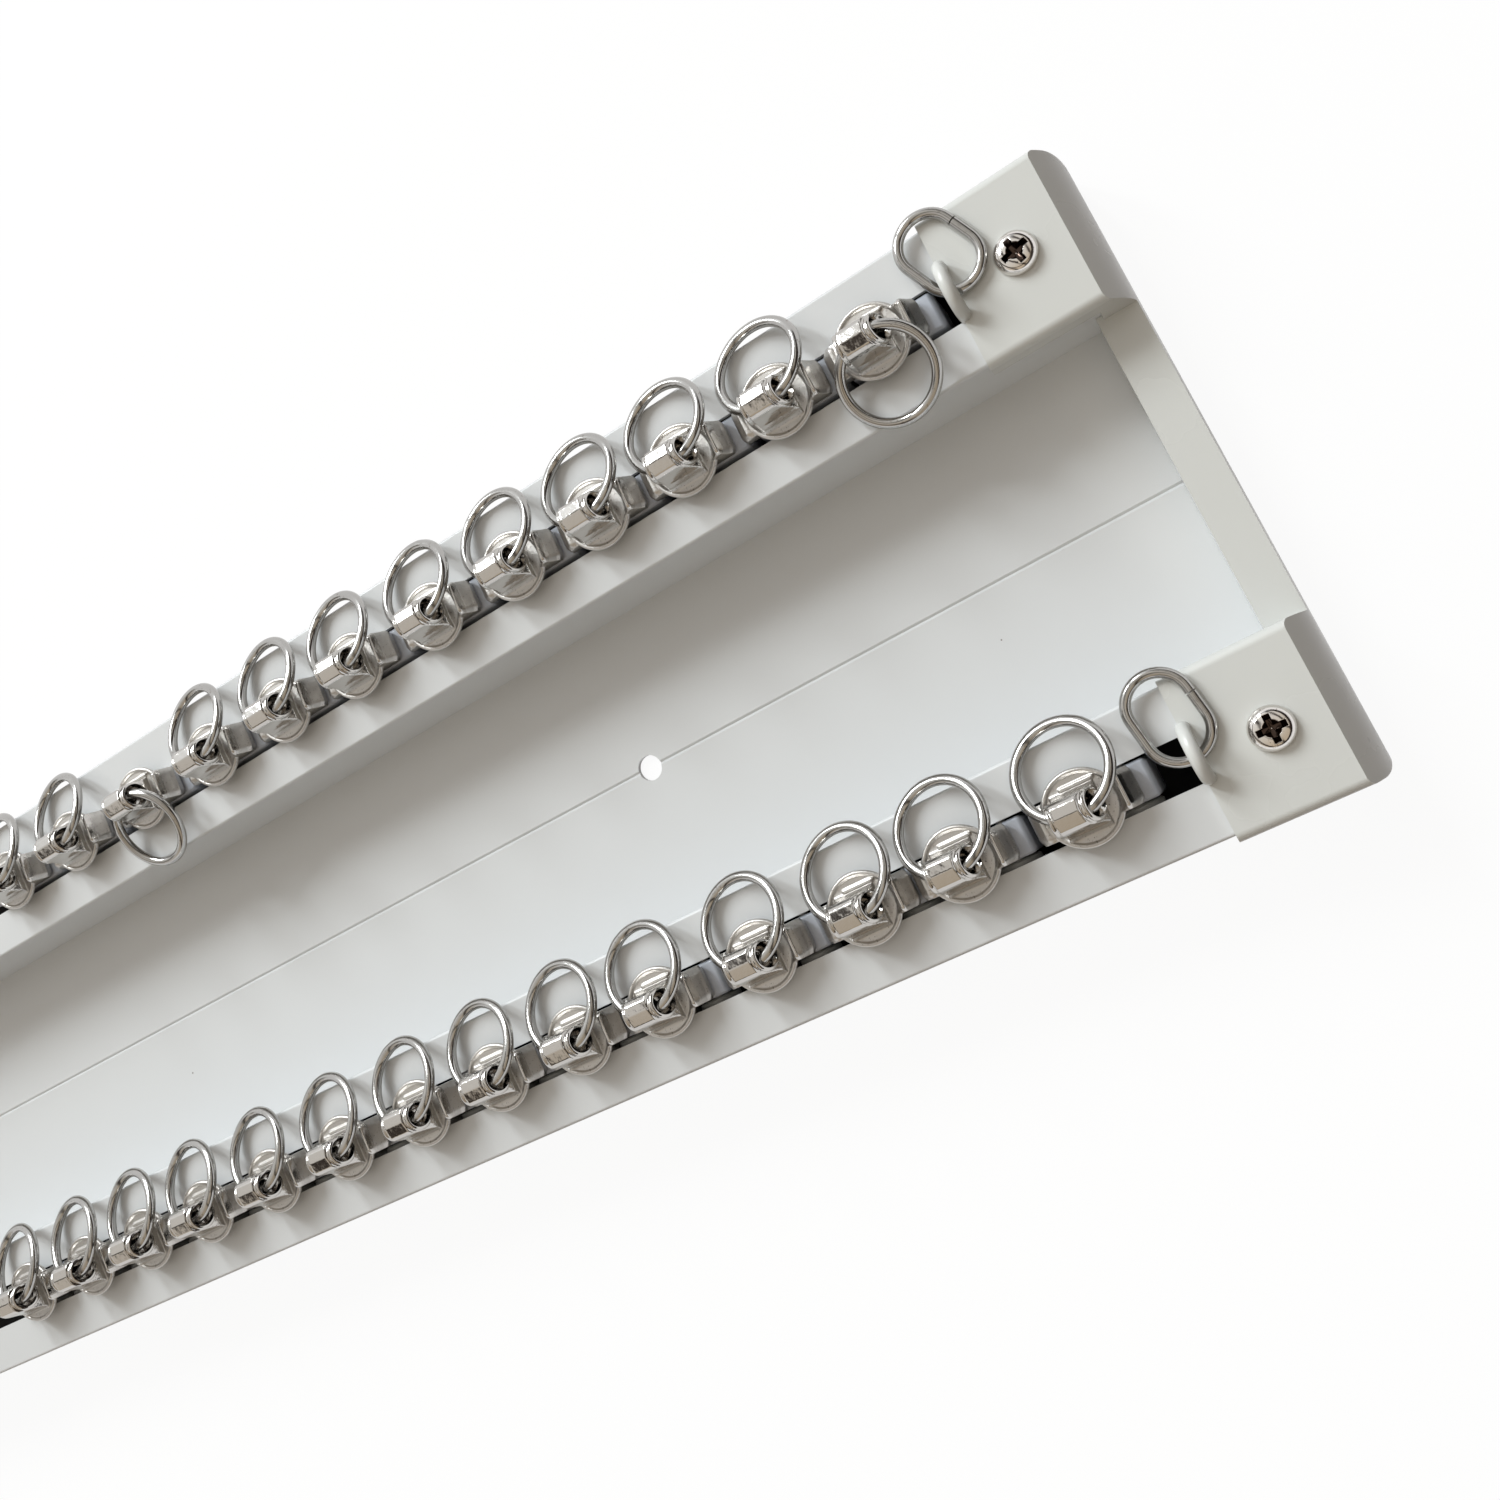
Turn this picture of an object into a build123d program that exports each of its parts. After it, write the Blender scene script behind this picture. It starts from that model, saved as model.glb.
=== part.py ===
"""Double curtain track: two slotted channels in one extrusion, capped at both ends,
with ring carriers running in both channels.

The track lies on its back with the slots up. The origin is the middle of its back,
+X runs along the track to the end with the oval links, +Y points to the rear channel
and +Z out of the slots. All lengths are in millimetres.
"""
import os
from math import asin, cos, degrees, radians, sin

from build123d import *

os.makedirs("parts", exist_ok=True)

# Aluminium profile
track_length = 593.0
track_width = 115.0
channel_width = 27.0
channel_height = 20.2
channel_wall = 1.2
web_thickness = 1.2
slot_width = 8.5
slot_inset = 0.4
profile_edge_radius = 0.6
groove_width = 0.9
groove_depth = 0.35
hole_radius = 2.6
hole_inset = 114.5

# Damping liners inside the channels
liner_thickness = 0.6
liner_inset = 20.5

# End caps
cap_wall = 1.2
cap_cover = 19.5
cap_end_wall = 6.5
cap_nose_length = 5.0
cap_nose_drop = 15.6
cap_lip_thickness = 0.9
cap_lip_depth = 4.0
cap_band_width = 7.6
cap_band_height = 11.0
cap_corner_radius = 2.5
cap_edge_radius = 1.6
cap_clearance = 0.05

# Arch on each cap that holds an oval link
arch_radius = 4.4
arch_bar_radius = 1.2
arch_inset = 0.5
arch_shift = 0.8
arch_leg_height = 1.2

# Cap screws and the square nuts that they pull against the slot lips
screw_inset = 7.2
screw_side_shift = 0.3
screw_shank_radius = 2.0
screw_shank_length = 8.0
screw_head_radius = 3.75
screw_head_height = 2.2
screw_head_rounding = 1.3
recess_width = 1.1
recess_length = 5.0
recess_depth = 1.4
nut_length = 12.0
nut_width = 14.0
nut_thickness = 3.0
screw_hole_clearance = 0.15
thread_clearance = 0.02
nut_clearance = 0.05

# Oval links
link_wire_radius = 0.95
link_end_radius = 5.2
link_straight = 5.1
link_turn = {"rear": 23.5, "front": 7.8}
link_shift = {"rear": (1.2, 6.9), "front": (-1.2, 7.0)}

# Hanger of a carrier, cast in one piece
bore_height = 7.4
bore_radius = 1.95
bore_mouth_radius = 2.5
bore_mouth_length = 1.8
knuckle_length = 6.4
knuckle_half_width = 2.9
knuckle_top_half_width = 1.3
knuckle_top = 2.9
knuckle_shoulder = 1.2
skirt_rear_reach = 4.5
skirt_front_reach = 3.5
collar_radius = 2.95
collar_length = 0.9
base_shift = 1.0
base_height = 2.4
base_clearance = 0.4
flange_radius = 6.8
flange_thickness = 0.8
flange_rim_width = 0.8
flange_rim_height = 0.3
foot_half_length = 9.0
foot_half_width = 3.4
foot_root_reach = 4.8
foot_ridge_reach = 7.1
foot_ridge_width = 0.6
foot_ridge_height = {"left": 3.4, "right": 5.8}
foot_toe_height = 3.0
foot_corner = 1.0
stem_size = 4.6
stem_depth = 4.2
stem_clearance = 0.03

# Nylon trolley body, its wheels and axles
body_length = 18.6
body_half_width = 3.45
body_shift = 3.8
body_height = 12.9
body_end_radius = 0.8
body_recess = 0.3
wheel_radius = 4.2
wheel_width = 4.0
wheel_half_base = 4.5
wheel_side_clearance = 0.3
wheel_run_clearance = 0.3
axle_radius = 1.0
axle_overhang = 0.5
axle_clearance = 0.03

# Rings
ring_radius = 8.4
ring_wire_radius = 0.95
ring_tilt = {"rear": 9.0, "front": 11.0}
ring_shift = {"rear": 1.0, "front": 0.9}
ring_rest_clearance = 0.25

# Where the carriers stand: the first one's inset from the track's end, then the gaps
# between neighbours, and how far they lean to the rear in their slots
first_carrier_inset = {"rear": 35.3, "front": 39.6}
carrier_side_shift = 0.4
carrier_gaps = {
    "rear": (0.8, 1.7, 0.9, 1.3, 1.8, 2.4, 1.4, 2.4, 3.1, 3.7, 2.8),
    "front": (3.8, 0.3, 2.8, 3.5, 0.5, 1.4, 1.4, 1.9, 1.9, 1.5, 0.3, 0.3, 1.0),
}
rings_turned_down = {"rear": (1, 10), "front": ()}

# Places worked out from the sizes above
track_end = track_length / 2
channel_centre = (track_width - channel_width) / 2
channel_inner_edge = track_width / 2 - channel_width
face = channel_height
slot_centre = channel_centre - slot_inset
sides = {"rear": slot_centre, "front": -slot_centre}
arches = {track: middle + arch_shift for track, middle in sides.items()}
cap_top = face + cap_wall
cap_start = track_end - cap_cover
cap_outside = track_end + cap_end_wall
cap_half_width = track_width / 2 + cap_wall
band_start = cap_outside - cap_band_width
arch_x = cap_start + arch_inset
arch_axis = cap_top + arch_leg_height
screw_x = track_end - screw_inset
screw_y = channel_centre + screw_side_shift
lip_underside = face - channel_wall
bore_z = face + bore_height
base_bottom = face + base_clearance
flange_bottom = face + base_height
flange_top = flange_bottom + flange_thickness
foot_hollow_radius = flange_radius - flange_rim_width
body_top = face - body_recess
axle_z = lip_underside - liner_thickness - wheel_run_clearance - wheel_radius


def save(piece, name):
    """Name one finished piece and write it out."""
    piece.label = name
    export_step(piece, f"parts/{name}.step")


# The profile: two slotted channels joined by a flat web along the back
with BuildPart() as track_profile:
    with BuildSketch(Plane.YZ.offset(-track_end)) as section:
        with Locations((-channel_centre, 0), (channel_centre, 0)):
            Rectangle(channel_width, channel_height, align=(Align.CENTER, Align.MIN))
        fillet(section.vertices().group_by(Axis.Y)[-1], profile_edge_radius)
        web_width = track_width - 2 * channel_width + 2 * channel_wall
        Rectangle(web_width, web_thickness, align=(Align.CENTER, Align.MIN))
        with Locations((-channel_centre, channel_wall), (channel_centre, channel_wall)):
            Rectangle(
                channel_width - 2 * channel_wall,
                channel_height - 2 * channel_wall,
                align=(Align.CENTER, Align.MIN),
                mode=Mode.SUBTRACT,
            )
        with Locations((-slot_centre, face), (slot_centre, face)):
            Rectangle(slot_width, channel_height / 2, mode=Mode.SUBTRACT)
        Polygon(
            (-groove_width / 2, web_thickness),
            (0, web_thickness - groove_depth),
            (groove_width / 2, web_thickness),
            align=None,
            mode=Mode.SUBTRACT,
        )
    extrude(amount=track_length)
    hole_x = track_end - hole_inset
    with Locations((hole_x, 0, web_thickness), (-hole_x, 0, web_thickness)):
        Hole(hole_radius)
save(track_profile.part, "track_profile")

# Black damping liner inside each channel, open along the slot
with BuildPart() as channel_liners:
    liner_length = track_length - 2 * liner_inset
    liner_width = channel_width - 2 * channel_wall
    liner_height = channel_height - 2 * channel_wall
    with BuildSketch(Plane.YZ.offset(-liner_length / 2)):
        with Locations((-channel_centre, channel_wall), (channel_centre, channel_wall)):
            Rectangle(liner_width, liner_height, align=(Align.CENTER, Align.MIN))
        inside = channel_wall + liner_thickness
        with Locations((-channel_centre, inside), (channel_centre, inside)):
            Rectangle(
                liner_width - 2 * liner_thickness,
                liner_height - 2 * liner_thickness,
                align=(Align.CENTER, Align.MIN),
                mode=Mode.SUBTRACT,
            )
        with Locations((-slot_centre, lip_underside), (slot_centre, lip_underside)):
            Rectangle(slot_width, channel_height / 2, mode=Mode.SUBTRACT)
    extrude(amount=liner_length)
save(channel_liners.part, "channel_liners")


def cut_block(low, high):
    """Cut a block, given by its two far corners, out of the part being built."""
    centre = [(a + b) / 2 for a, b in zip(low, high)]
    size = [b - a for a, b in zip(low, high)]
    with Locations(tuple(centre)):
        Box(*size, mode=Mode.SUBTRACT)


# End cap: a cover over each channel, an end wall and a low band across the web
with BuildPart() as end_cap_right:
    with BuildSketch(Plane.XZ.offset(-cap_half_width)):
        with BuildLine():
            Polyline((cap_outside, 0), (cap_start, 0), (cap_start, cap_top),
                     (cap_outside - cap_nose_length, cap_top))
            TangentArc((cap_outside, cap_top - cap_nose_drop),
                       (cap_outside - cap_nose_length, cap_top), tangent=(0, 1))
            Line((cap_outside, cap_top - cap_nose_drop), (cap_outside, 0))
        make_face()
    extrude(amount=2 * cap_half_width)
    with BuildSketch(Plane.XY) as cap_plan:
        with Locations((cap_start, 0)):
            Rectangle(cap_outside - cap_start, 2 * cap_half_width,
                      align=(Align.MIN, Align.CENTER))
        fillet(cap_plan.vertices().group_by(Axis.X)[-1], cap_corner_radius)
    extrude(amount=cap_top, mode=Mode.INTERSECT)
    lip_edge = channel_inner_edge - cap_lip_thickness
    cut_block((cap_start, -lip_edge, cap_band_height), (cap_outside, lip_edge, cap_top))
    cut_block((cap_start, -lip_edge, 0), (band_start, lip_edge, cap_band_height))
    long_edges = end_cap_right.edges().filter_by(Axis.X).group_by(Axis.Z)[-1]
    fillet(long_edges, cap_edge_radius)
    for side in (-1, 1):
        near = side * (channel_inner_edge - cap_clearance)
        far = side * (track_width / 2 + cap_clearance)
        cut_block((cap_start, min(near, far), 0),
                  (track_end + cap_clearance, max(near, far), face + cap_clearance))
        near = side * lip_edge
        far = side * channel_inner_edge
        lip_foot = face - cap_lip_depth
        cut_block((cap_start, min(near, far), 0), (band_start, max(near, far), lip_foot))
        cut_block((band_start, min(near, far), cap_band_height),
                  (track_end, max(near, far), lip_foot))
    cut_block((band_start, -channel_inner_edge, 0),
              (track_end + cap_clearance, channel_inner_edge, web_thickness + cap_clearance))
    with Locations((screw_x, -screw_y, cap_top), (screw_x, screw_y, cap_top)):
        Hole(screw_shank_radius + screw_hole_clearance, depth=2 * cap_wall)
    for middle in arches.values():
        with BuildSketch(Plane.XY.offset(arch_axis)):
            with Locations((arch_x, middle + arch_radius)):
                Circle(arch_bar_radius)
        revolve(axis=Axis((arch_x, middle, arch_axis), (1, 0, 0)), revolution_arc=180)
        with BuildSketch(Plane.XY.offset(arch_axis)):
            with Locations((arch_x, middle - arch_radius), (arch_x, middle + arch_radius)):
                Circle(arch_bar_radius)
        extrude(amount=-(arch_axis - face - cap_clearance))
save(end_cap_right.part, "end_cap_right")

with BuildPart() as end_cap_left:
    mirror(end_cap_right.part, about=Plane.YZ)
save(end_cap_left.part, "end_cap_left")

screw_places = [(x, y) for x in (-screw_x, screw_x) for y in (-screw_y, screw_y)]

# Pan head screws with a cross recess, two in each cap
with BuildPart() as cap_screws:
    with BuildSketch(Plane.XY.offset(cap_top)):
        with Locations(*screw_places):
            Circle(screw_head_radius)
    extrude(amount=screw_head_height)
    rims = cap_screws.edges().filter_by(GeomType.CIRCLE).group_by(Axis.Z)[-1]
    fillet(rims, screw_head_rounding)
    with BuildSketch(Plane.XY.offset(cap_top)):
        with Locations(*screw_places):
            Circle(screw_shank_radius)
    extrude(amount=-screw_shank_length)
    with BuildSketch(Plane.XY.offset(cap_top + screw_head_height)):
        with Locations(*screw_places):
            Rectangle(recess_length, recess_width)
            Rectangle(recess_width, recess_length)
    extrude(amount=-recess_depth, mode=Mode.SUBTRACT)
save(cap_screws.part, "cap_screws")

# Square nuts inside the channels, wider than the slot
with BuildPart() as clamp_nuts:
    with BuildSketch(Plane.XY.offset(lip_underside - nut_clearance)):
        with Locations(*screw_places):
            Rectangle(nut_length, nut_width)
            Circle(screw_shank_radius + thread_clearance, mode=Mode.SUBTRACT)
    extrude(amount=-nut_thickness)
save(clamp_nuts.part, "clamp_nuts")


# Oval links of round wire, each lying over with one end under its arch
def oval_link(x, y, turn):
    """Wire loop with straight sides, its long axis turned from +Y towards -X."""
    flat = Plane(origin=(x, y, arch_axis), x_dir=(cos(radians(turn)), sin(radians(turn)), 0))
    half = link_straight / 2
    with BuildPart() as link:
        with BuildLine(flat):
            Line((link_end_radius, -half), (link_end_radius, half))
            ThreePointArc((link_end_radius, half), (0, half + link_end_radius),
                          (-link_end_radius, half))
            Line((-link_end_radius, half), (-link_end_radius, -half))
            ThreePointArc((-link_end_radius, -half), (0, -half - link_end_radius),
                          (link_end_radius, -half))
        start = flat.from_local_coords((link_end_radius, -half, 0))
        with BuildSketch(Plane(origin=start, z_dir=flat.y_dir)):
            Circle(link_wire_radius)
        sweep()
    return link.part


for track, middle in arches.items():
    along, across = link_shift[track]
    save(oval_link(arch_x + along, middle + across, link_turn[track]), f"{track}_oval_link")

# Hanger: a base bar with a foot at each end, a flange across its middle, a knuckle with
# a bore for the ring, and a square stem below
with BuildPart() as hanger:
    with BuildSketch(Plane.XZ.offset(-foot_half_width)):
        for way, end in ((-1, "left"), (1, "right")):
            ridge = face + foot_ridge_height[end]
            with BuildLine():
                outline = [
                    (0, base_bottom),
                    (0, flange_top),
                    (foot_root_reach, flange_top),
                    (foot_ridge_reach - foot_ridge_width / 2, ridge),
                    (foot_ridge_reach + foot_ridge_width / 2, ridge),
                    (foot_half_length, face + foot_toe_height),
                    (foot_half_length, base_bottom),
                ]
                Polyline(*[(base_shift + way * x, z) for x, z in outline], close=True)
            make_face()
    extrude(amount=2 * foot_half_width)
    toes = hanger.edges().filter_by(Axis.Z).group_by(Axis.X)
    chamfer(toes[0] + toes[-1], foot_corner)
    with BuildSketch(Plane.XY.offset(flange_top)):
        with Locations((base_shift, 0)):
            Circle(foot_hollow_radius)
    extrude(amount=max(foot_ridge_height.values()), mode=Mode.SUBTRACT)
    with BuildSketch(Plane.XY.offset(flange_bottom)):
        with Locations((base_shift, 0)):
            Circle(flange_radius)
    extrude(amount=flange_thickness)
    with BuildSketch(Plane.XY.offset(flange_top)):
        with Locations((base_shift, 0)):
            Circle(flange_radius)
            Circle(flange_radius - flange_rim_width, mode=Mode.SUBTRACT)
    extrude(amount=flange_rim_height)
    with BuildSketch(Plane.YZ.offset(-knuckle_length / 2)):
        with BuildLine():
            for way, reach in ((1, skirt_rear_reach), (-1, skirt_front_reach)):
                Polyline((0, bore_z + knuckle_top),
                         (way * knuckle_top_half_width, bore_z + knuckle_top),
                         (way * knuckle_half_width, bore_z + knuckle_shoulder),
                         (way * knuckle_half_width, bore_z - knuckle_shoulder))
                TangentArc((way * knuckle_half_width, bore_z - knuckle_shoulder),
                           (way * reach, flange_top), tangent=(0, -1))
                Polyline((way * reach, flange_top), (way * reach, flange_bottom),
                         (0, flange_bottom))
        make_face()
    extrude(amount=knuckle_length)
    mouth_x = knuckle_length / 2 + collar_length
    with BuildSketch(Plane.YZ.offset(-mouth_x)):
        with Locations((0, bore_z)):
            Circle(collar_radius)
    extrude(amount=2 * mouth_x)
    with BuildSketch(Plane.XZ):
        throat_x = mouth_x - bore_mouth_length
        Polygon(
            (-mouth_x, bore_z),
            (-mouth_x, bore_z + bore_mouth_radius),
            (-throat_x, bore_z + bore_radius),
            (throat_x, bore_z + bore_radius),
            (mouth_x, bore_z + bore_mouth_radius),
            (mouth_x, bore_z),
            align=None,
        )
    revolve(axis=Axis((0, 0, bore_z), (1, 0, 0)), mode=Mode.SUBTRACT)
    with BuildSketch(Plane.XY.offset(base_bottom)):
        Rectangle(stem_size, stem_size)
    extrude(amount=-(base_bottom - body_top + stem_depth))

# Trolley body: a nylon block in the slot, with a socket for the stem and two axle holes
with BuildPart() as trolley_body:
    with BuildSketch(Plane.XY.offset(body_top)) as body_plan:
        with Locations((body_shift, 0)):
            Rectangle(body_length, 2 * body_half_width)
        fillet(body_plan.vertices(), body_end_radius)
    extrude(amount=-body_height)
    with BuildSketch(Plane.XY.offset(body_top)):
        socket = stem_size + 2 * stem_clearance
        Rectangle(socket, socket)
    extrude(amount=-(stem_depth + stem_clearance), mode=Mode.SUBTRACT)
    with BuildSketch(Plane.XZ.offset(-body_half_width)):
        with Locations((body_shift - wheel_half_base, axle_z),
                       (body_shift + wheel_half_base, axle_z)):
            Circle(axle_radius + axle_clearance)
    extrude(amount=2 * body_half_width, mode=Mode.SUBTRACT)

wheel_inner_face = body_half_width + wheel_side_clearance
axle_half_length = wheel_inner_face + wheel_width + axle_overhang

# Steel axles across the body
with BuildPart() as axles:
    with BuildSketch(Plane.XZ.offset(-axle_half_length)):
        with Locations((body_shift - wheel_half_base, axle_z),
                       (body_shift + wheel_half_base, axle_z)):
            Circle(axle_radius)
    extrude(amount=2 * axle_half_length)

# Wheels that run on the liner behind the slot lips
with BuildPart() as wheels:
    for inner_face in (wheel_inner_face, -wheel_inner_face - wheel_width):
        with BuildSketch(Plane.XZ.offset(-inner_face - wheel_width)):
            with Locations((body_shift - wheel_half_base, axle_z),
                           (body_shift + wheel_half_base, axle_z)):
                Circle(wheel_radius)
                Circle(axle_radius + axle_clearance, mode=Mode.SUBTRACT)
        extrude(amount=wheel_width)


# Ring: it has slid along its bore towards the track's end, and its wire bows inside the
# bore, so its middle sits off the bore's axis. It lies tilted, the side towards the
# track's end up, and clears the face by a little.
def resting_ring(shift, tilt):
    """Ring that hangs to the rear of a bore at x = 0, y = 0."""
    bow = ring_radius - (ring_radius**2 - (mouth_x + shift)**2) ** 0.5
    offset = ring_radius - bow / 2
    drop = bore_height - ring_wire_radius - ring_rest_clearance
    rise = ring_radius * sin(radians(tilt))
    spare_drop = drop**2 - rise**2
    spare_reach = ring_radius**2 - rise**2 - offset**2
    product = drop * offset
    lean = asin(spare_drop / (product + (product**2 + spare_reach * spare_drop) ** 0.5))
    print(f"ring leans {degrees(lean):.2f} degrees, centre {offset:.3f} mm from the bore's axis")
    centre = (shift, offset * cos(lean), bore_z - offset * sin(lean))
    with BuildPart() as ring:
        with Locations(Location(centre, (-degrees(lean), -tilt, 0))):
            Torus(ring_radius, ring_wire_radius)
    return ring.part


rings = {track: resting_ring(ring_shift[track], ring_tilt[track]) for track in sides}

carrier_pieces = [hanger.part, trolley_body.part]
carrier_pieces += list(axles.part.solids()) + list(wheels.part.solids())


def stand_carrier(track, number, x):
    """Write one carrier and its ring, standing at x in the named channel."""
    place = Location((x, sides[track] + carrier_side_shift, 0))
    pieces = [place * piece.solid() for piece in carrier_pieces]
    save(Compound(children=pieces), f"{track}_carrier_{number:02d}")
    ring = rings[track]
    if number in rings_turned_down[track]:
        ring = mirror(ring, about=Plane.XZ)
    save(place * ring, f"{track}_ring_{number:02d}")


for track in sides:
    x = track_end - first_carrier_inset[track]
    stand_carrier(track, 1, x)
    for number, gap in enumerate(carrier_gaps[track], start=2):
        x -= body_length + gap
        stand_carrier(track, number, x)
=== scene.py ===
"""Double curtain track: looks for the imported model, in the track's frame. Lengths are in metres, and
in millimetres where a form is drawn before millimetres() turns it into metres."""
import math
import random

import bmesh
import bpy
import numpy as np
from mathutils import Matrix, Vector


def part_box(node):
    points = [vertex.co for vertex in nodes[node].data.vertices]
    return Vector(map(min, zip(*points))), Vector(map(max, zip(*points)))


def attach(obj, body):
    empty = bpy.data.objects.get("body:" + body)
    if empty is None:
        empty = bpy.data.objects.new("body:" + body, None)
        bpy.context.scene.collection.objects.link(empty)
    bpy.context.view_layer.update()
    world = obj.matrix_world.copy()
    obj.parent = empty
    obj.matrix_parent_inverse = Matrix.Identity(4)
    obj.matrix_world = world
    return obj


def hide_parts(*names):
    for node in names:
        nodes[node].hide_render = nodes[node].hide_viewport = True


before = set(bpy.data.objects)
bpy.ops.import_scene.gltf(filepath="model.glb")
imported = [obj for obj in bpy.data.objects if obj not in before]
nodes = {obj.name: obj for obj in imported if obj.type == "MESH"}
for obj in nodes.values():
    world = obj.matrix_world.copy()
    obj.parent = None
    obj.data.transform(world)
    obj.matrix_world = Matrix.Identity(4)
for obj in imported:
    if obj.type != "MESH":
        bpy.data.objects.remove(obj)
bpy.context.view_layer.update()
mm = 0.001


# The profile is one aluminium extrusion: two slotted channels joined by a thin web.
# It is powder coated a light cool grey, smooth with a faint orange peel, and screws
# down through the holes in its web.
def new_finish(name, colour, roughness, metallic=0.0):
    """A material with one Principled shader, its node tree and the shader."""
    material = bpy.data.materials.new(name)
    material.use_nodes = True
    shader = material.node_tree.nodes["Principled BSDF"]
    shader.inputs["Base Color"].default_value = (*colour, 1)
    shader.inputs["Roughness"].default_value = roughness
    shader.inputs["Metallic"].default_value = metallic
    return material, material.node_tree, shader


def put(tree, kind, inputs=(), **settings):
    """Add a node, set its properties, and set or link its inputs."""
    node = tree.nodes.new(kind)
    for key, value in settings.items():
        setattr(node, key, value)
    for key, value in dict(inputs).items():
        if isinstance(value, bpy.types.NodeSocket):
            tree.links.new(value, node.inputs[key])
        else:
            node.inputs[key].default_value = value
    return node


def calculate(tree, operation, first, second=0.0):
    """One step of arithmetic on values or sockets."""
    return put(tree, "ShaderNodeMath", {0: first, 1: second}, operation=operation).outputs[0]


def on_piece(tree):
    """Where a point lies on its piece."""
    return put(tree, "ShaderNodeTexCoord").outputs["Object"]


def noise(tree, scale, detail=3.0, stretch=(1, 1, 1)):
    """Smooth noise over the piece, its grain drawn out along an axis where the stretch is under 1."""
    spread = put(tree, "ShaderNodeMapping", {"Vector": on_piece(tree), "Scale": stretch})
    grain = put(tree, "ShaderNodeTexNoise",
                {"Vector": spread.outputs["Vector"], "Scale": scale, "Detail": detail})
    return grain.outputs["Fac"]


def ramp(tree, value, low, high):
    """0 where value is at or under low, 1 at or over high, smooth between."""
    step = put(tree, "ShaderNodeMapRange", {"Value": value, "From Min": low, "From Max": high},
               interpolation_type="SMOOTHSTEP")
    return step.outputs["Result"]


def tint(tree, mask, clean, marked):
    """The clean colour where the mask is 0 and the marked one where it is 1, each a colour or a socket."""
    first, second = (colour if isinstance(colour, bpy.types.NodeSocket) else (*colour, 1)
                     for colour in (clean, marked))
    # A Mix node for colours takes its mask on input 0 and its colours on 6 and 7, and gives output 2.
    return put(tree, "ShaderNodeMix", {0: mask, 6: first, 7: second}, data_type="RGBA").outputs[2]


def vary_colour(tree, shader, mask, clean, marked):
    """Base colour that goes from clean to marked with a mask."""
    tree.links.new(tint(tree, mask, clean, marked), shader.inputs["Base Color"])


def vary_gloss(tree, shader, mask, glossy, dull):
    """Roughness that goes from glossy to dull with a mask."""
    gloss = put(tree, "ShaderNodeMapRange", {"Value": mask, "To Min": glossy, "To Max": dull})
    tree.links.new(gloss.outputs["Result"], shader.inputs["Roughness"])


def bump(tree, shader, height, depth, strength):
    """Raise the surface by a height map."""
    node = put(tree, "ShaderNodeBump", {"Height": height, "Distance": depth, "Strength": strength})
    tree.links.new(node.outputs["Normal"], shader.inputs["Normal"])


def new_effect(name, inputs, outputs):
    """An empty node group with named value inputs and outputs."""
    group = bpy.data.node_groups.new(name, "ShaderNodeTree")
    for label, value in inputs.items():
        socket = group.interface.new_socket(label, in_out="INPUT", socket_type="NodeSocketFloat")
        socket.default_value = value
    for label in outputs:
        group.interface.new_socket(label, in_out="OUTPUT", socket_type="NodeSocketFloat")
    return group, group.nodes.new("NodeGroupInput"), group.nodes.new("NodeGroupOutput")


def place_effect(tree, group, **inputs):
    """One copy of an effect in a material, with its own values."""
    return put(tree, "ShaderNodeGroup", inputs, node_tree=group)


def make_dust_specks():
    """Sparse specks, such as dust on a coated face, in some cells of a scattered pattern."""
    group, given, result = new_effect("dust_specks", {"Spacing": 90.0, "Size": 0.03, "Share": 0.3},
                                      ["Specks"])
    cells = put(group, "ShaderNodeTexVoronoi",
                {"Vector": on_piece(group), "Scale": given.outputs["Spacing"]})
    lot = put(group, "ShaderNodeSeparateColor", {"Color": cells.outputs["Color"]}).outputs["Red"]
    near = calculate(group, "LESS_THAN", cells.outputs["Distance"], given.outputs["Size"])
    drawn = calculate(group, "LESS_THAN", lot, given.outputs["Share"])
    group.links.new(calculate(group, "MULTIPLY", near, drawn), result.inputs["Specks"])
    return group


def make_faint_patches():
    """Broad faint patches, as handling and uneven gloss leave on a smooth face."""
    group, given, result = new_effect("faint_patches", {"Scale": 20.0, "Amount": 1.0}, ["Patches"])
    cloud = put(group, "ShaderNodeTexNoise",
                {"Vector": on_piece(group), "Scale": given.outputs["Scale"], "Detail": 4.0})
    soft = ramp(group, cloud.outputs["Fac"], 0.42, 0.68)
    group.links.new(calculate(group, "MULTIPLY", soft, given.outputs["Amount"]), result.inputs["Patches"])
    return group


dust_specks = make_dust_specks()
faint_patches = make_faint_patches()


def coated_profile():
    """Light grey powder coat on aluminium."""
    clean, dusty = (0.668, 0.678, 0.684), (0.24, 0.22, 0.20)
    material, tree, shader = new_finish("coated_profile", clean, 0.34)
    shader.inputs["Specular IOR Level"].default_value = 0.45
    specks = place_effect(tree, dust_specks, Spacing=75.0, Size=0.018)
    vary_colour(tree, shader, specks.outputs["Specks"], clean, dusty)
    patches = place_effect(tree, faint_patches, Scale=14.0, Amount=0.5)
    vary_gloss(tree, shader, patches.outputs["Patches"], 0.29, 0.40)
    peel = noise(tree, scale=700.0, detail=2.0)
    bump(tree, shader, peel, depth=0.01 * mm, strength=0.35)
    return material


def dress(name, material):
    """Give a CAD node its finish."""
    slots = nodes[name].data.materials
    slots.clear()
    slots.append(material)


dress("track_profile", coated_profile())


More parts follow.
